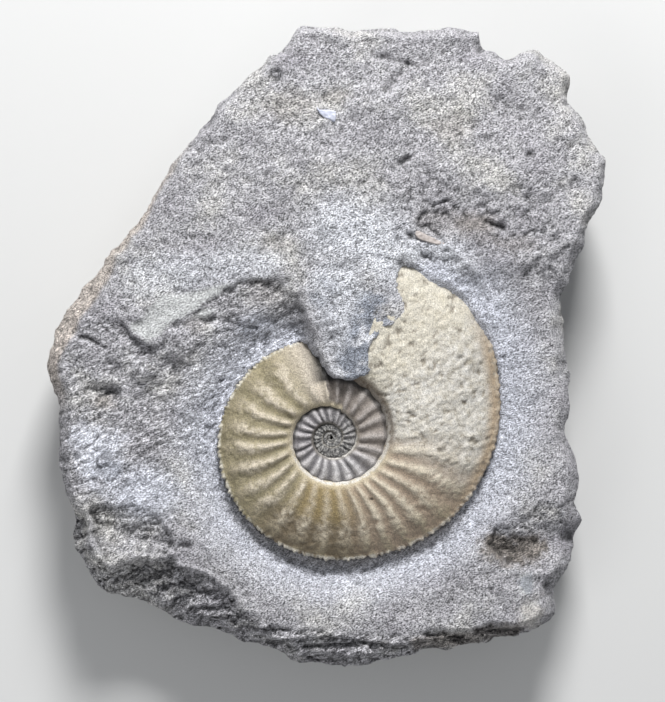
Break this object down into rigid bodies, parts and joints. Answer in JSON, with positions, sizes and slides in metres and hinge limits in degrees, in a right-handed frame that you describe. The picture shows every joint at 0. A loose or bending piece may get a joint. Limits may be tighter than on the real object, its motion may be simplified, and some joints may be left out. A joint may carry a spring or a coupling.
{
  "type": "ammonite fossil in matrix",
  "caption": "Coiled, ribbed ammonite shell half bedded in the face of a rough broken slab of grey limestone; lies on its flat back as a display or study specimen.",
  "frame": {"origin": "middle of the bounding box in plan, on the slab's flat back", "axes": "+Z out of the fossil face, +Y along the slab's long way towards its unprepared end, +X to the right when the face is looked down on"},
  "size_m": [0.179, 0.2052, 0.0465],
  "materials": {
    "limestone": "rough broken grey limestone with dark and pale grains",
    "fossil_shell": "calcite shell, satin, olive tan to cream with pale ribs",
    "white_shell": "chalky white shell",
    "pale_shell": "thin beige shell"
  },
  "bodies": {
    "root": {"matrix": "limestone", "ammonite": "fossil_shell", "shell_chip": "white_shell", "shell_sliver": "pale_shell"}
  },
  "joints": []
}
